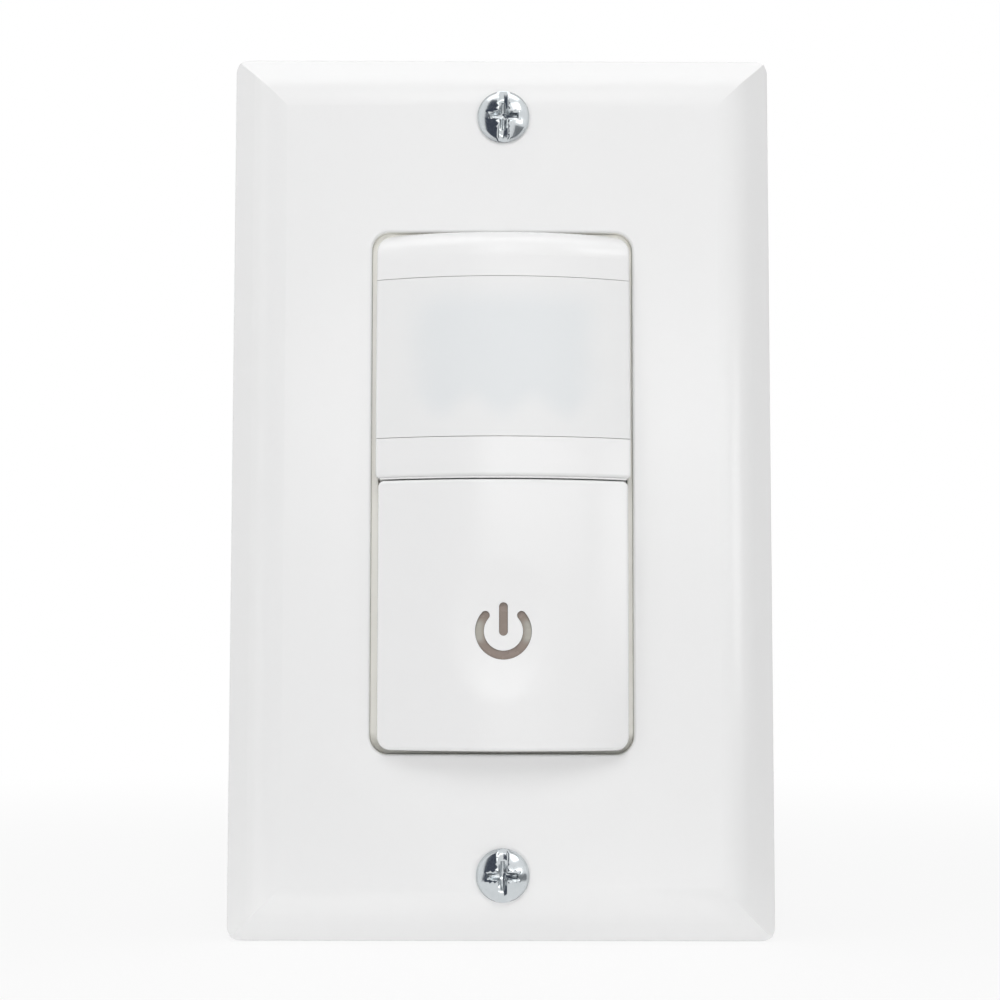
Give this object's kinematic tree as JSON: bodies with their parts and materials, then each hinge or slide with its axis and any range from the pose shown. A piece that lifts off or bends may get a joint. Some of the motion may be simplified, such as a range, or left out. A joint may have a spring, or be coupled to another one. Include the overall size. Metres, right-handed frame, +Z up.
{
  "type": "motion sensor light switch",
  "caption": "Wall switch for one box: bevelled white plate, bowed milky motion lens over a press paddle with a lit on-off symbol, steel strap and rear housing.",
  "frame": {"origin": "in the wall plane, on the centre line and at mid height of the device", "axes": "+Z up along the wall plate, +Y into the wall, +X to the right as seen from the room; the front faces -Y"},
  "size_m": [0.0698, 0.0437, 0.1142],
  "materials": {
    "plate_plastic": "glossy white moulding",
    "device_plastic": "glossy white moulding",
    "lens_plastic": "satin milky polyethylene",
    "symbol_plastic": "smoky translucent plastic",
    "clear_plastic": "clear acrylic",
    "bright_steel": "zinc plated, satin",
    "strap_steel": "galvanised sheet",
    "green_screw": "green dyed zinc",
    "housing_plastic": "dark grey moulding",
    "dial_plastic": "blue-grey moulding",
    "board_green": "solder-masked fibreglass",
    "insulation": "grey-buff insulating paper",
    "brass_contact": "plain brass",
    "copper_wire": "enamelled copper",
    "sensor_metal": "nickel plated can",
    "sensor_filter": "dark infrared filter",
    "tinned_lead": "tinned",
    "black_plastic": "black moulding",
    "red_lens": "red tinted epoxy",
    "white_lens": "lamp body",
    "cell_face": "light cell with a brick-red track",
    "relay_case": "blue relay cover",
    "soft_iron": "soft iron, plated",
    "capacitor_sleeve": "dark shrink sleeve",
    "film_yellow": "yellow case",
    "varistor_blue": "blue epoxy",
    "resistor_body": "grey-green lacquer"
  },
  "bodies": {
    "root": {"wall_plate": "plate_plastic", "front_frame": "device_plastic", "pir_lens": "lens_plastic", "light_pipe": "clear_plastic", "wall_plate_screws": "bright_steel", "device_mounting_screws": "bright_steel", "housing_screws": "bright_steel", "screw_retainers": "insulation", "mounting_strap": "strap_steel", "ground_screw": "green_screw", "rear_housing": "housing_plastic", "trimmers": "black_plastic", "front_board": "board_green", "power_board": "board_green", "insulating_sheet": "insulation", "terminal_plates": "brass_contact", "terminal_clamps": "bright_steel", "terminal_screws": "brass_contact", "pir_sensor_can": "sensor_metal", "pir_sensor_window": "sensor_filter", "pir_sensor_leads": "tinned_lead", "sensor_spacer": "black_plastic", "motion_indicator": "red_lens", "daylight_sensor": "cell_face", "symbol_lamp": "white_lens", "tact_switch_base": "black_plastic", "tact_switch_cover": "tinned_lead", "controller_chip": "black_plastic", "front_board_parts": "cell_face", "board_header": "black_plastic", "header_contacts": "tinned_lead", "relay_base": "relay_case", "relay_cover": "relay_case", "relay_pins": "tinned_lead", "relay_core": "soft_iron", "relay_bobbin": "black_plastic", "relay_winding": "copper_wire", "relay_fixed_contact": "brass_contact", "electrolytic_capacitors": "capacitor_sleeve", "film_capacitor": "film_yellow", "varistor": "varistor_blue", "bridge_rectifier": "black_plastic", "fusible_resistor": "resistor_body", "voltage_regulator": "black_plastic"},
    "paddle": {"paddle": "device_plastic", "paddle_light_guide": "symbol_plastic"},
    "plunger": {"tact_plunger": "black_plastic"},
    "time_dial": {"time_dial": "dial_plastic"},
    "light_dial": {"light_dial": "dial_plastic"},
    "range_dial": {"range_dial": "dial_plastic"},
    "armature": {"relay_armature": "soft_iron", "relay_moving_contact": "brass_contact"}
  },
  "joints": [
    {"name": "paddle_press", "type": "hinge", "parent": "root", "child": "paddle", "pos_m": [0, -0.0044, -0.0026], "axis": [1, 0, 0], "range_deg": [0, 0.7], "stiffness_Nm_per_rad": 1, "springref_deg": -0.17},
    {"name": "plunger_travel", "type": "slide", "parent": "root", "child": "plunger", "axis": [0, 1, 0], "range_m": [0, 0.0003]},
    {"name": "time_dial_turn", "type": "hinge", "parent": "root", "child": "time_dial", "pos_m": [-0.0074, -0.0025, -0.0094], "axis": [0, 1, 0], "range_deg": [-135, 135]},
    {"name": "light_dial_turn", "type": "hinge", "parent": "root", "child": "light_dial", "pos_m": [0, -0.0025, -0.0094], "axis": [0, 1, 0], "range_deg": [-135, 135]},
    {"name": "range_dial_turn", "type": "hinge", "parent": "root", "child": "range_dial", "pos_m": [0.0074, -0.0025, -0.0094], "axis": [0, 1, 0], "range_deg": [-135, 135]},
    {"name": "armature_swing", "type": "hinge", "parent": "root", "child": "armature", "pos_m": [-0.0045, 0.015, -0.0222], "axis": [-1, 0, 0], "range_deg": [0, 3.5], "stiffness_Nm_per_rad": 0.002, "springref_deg": -5.73}
  ],
  "couplings": [
    {"joint": "plunger_travel", "follows": "paddle_press", "m_per_rad": 0.0234}
  ]
}
